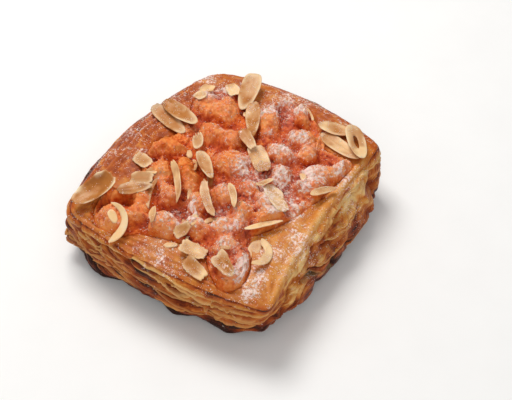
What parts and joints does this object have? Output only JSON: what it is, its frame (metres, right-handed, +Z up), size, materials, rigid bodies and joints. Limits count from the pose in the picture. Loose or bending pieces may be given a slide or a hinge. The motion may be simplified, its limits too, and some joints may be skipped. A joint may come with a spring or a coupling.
{
  "type": "danish pastry",
  "caption": "Square laminated pastry with folded panels, a lumpy orange almond-paste cross and toasted almond flakes on top.",
  "frame": {"origin": "bottom centre of the whole pastry's box, on the surface it stands on", "axes": "+Z up; -Y towards the layered front side and +X towards the blistered right side"},
  "size_m": [0.1232, 0.1318, 0.0462],
  "materials": {
    "dough": null,
    "paste": null,
    "almond": null,
    "icing_sugar": null
  },
  "bodies": {
    "root": {"dough": "dough", "paste": "paste", "flake_cupped_left": "almond", "flake_crescent_left": "almond", "flake_corner_square": "almond", "flake_thin_leaf": "almond", "flake_stub_left": "almond", "flake_brown_far_left": "almond", "flake_golden_far_left": "almond", "flake_broken_upright": "almond", "flake_oval_centre": "almond", "flake_pale_finger": "almond", "flake_far_leaning": "almond", "flake_far_lower": "almond", "flake_far_chunk": "almond", "flake_far_crust": "almond", "flake_square_middle": "almond", "flake_pale_wedge": "almond", "flake_sugared_large": "almond", "flake_long_curved": "almond", "flake_ridge_sliver": "almond", "flake_edge_long": "almond", "flake_right_under": "almond", "flake_right_upper": "almond", "flake_right_ring": "almond", "flake_front_irregular": "almond", "flake_front_tan": "almond", "flake_front_translucent": "almond", "flake_horseshoe": "almond", "flake_far_small": "almond", "flake_thin_edge": "almond", "flake_centre_bar": "almond", "flake_left_sliver": "almond", "flake_inner_block": "almond"}
  },
  "joints": []
}
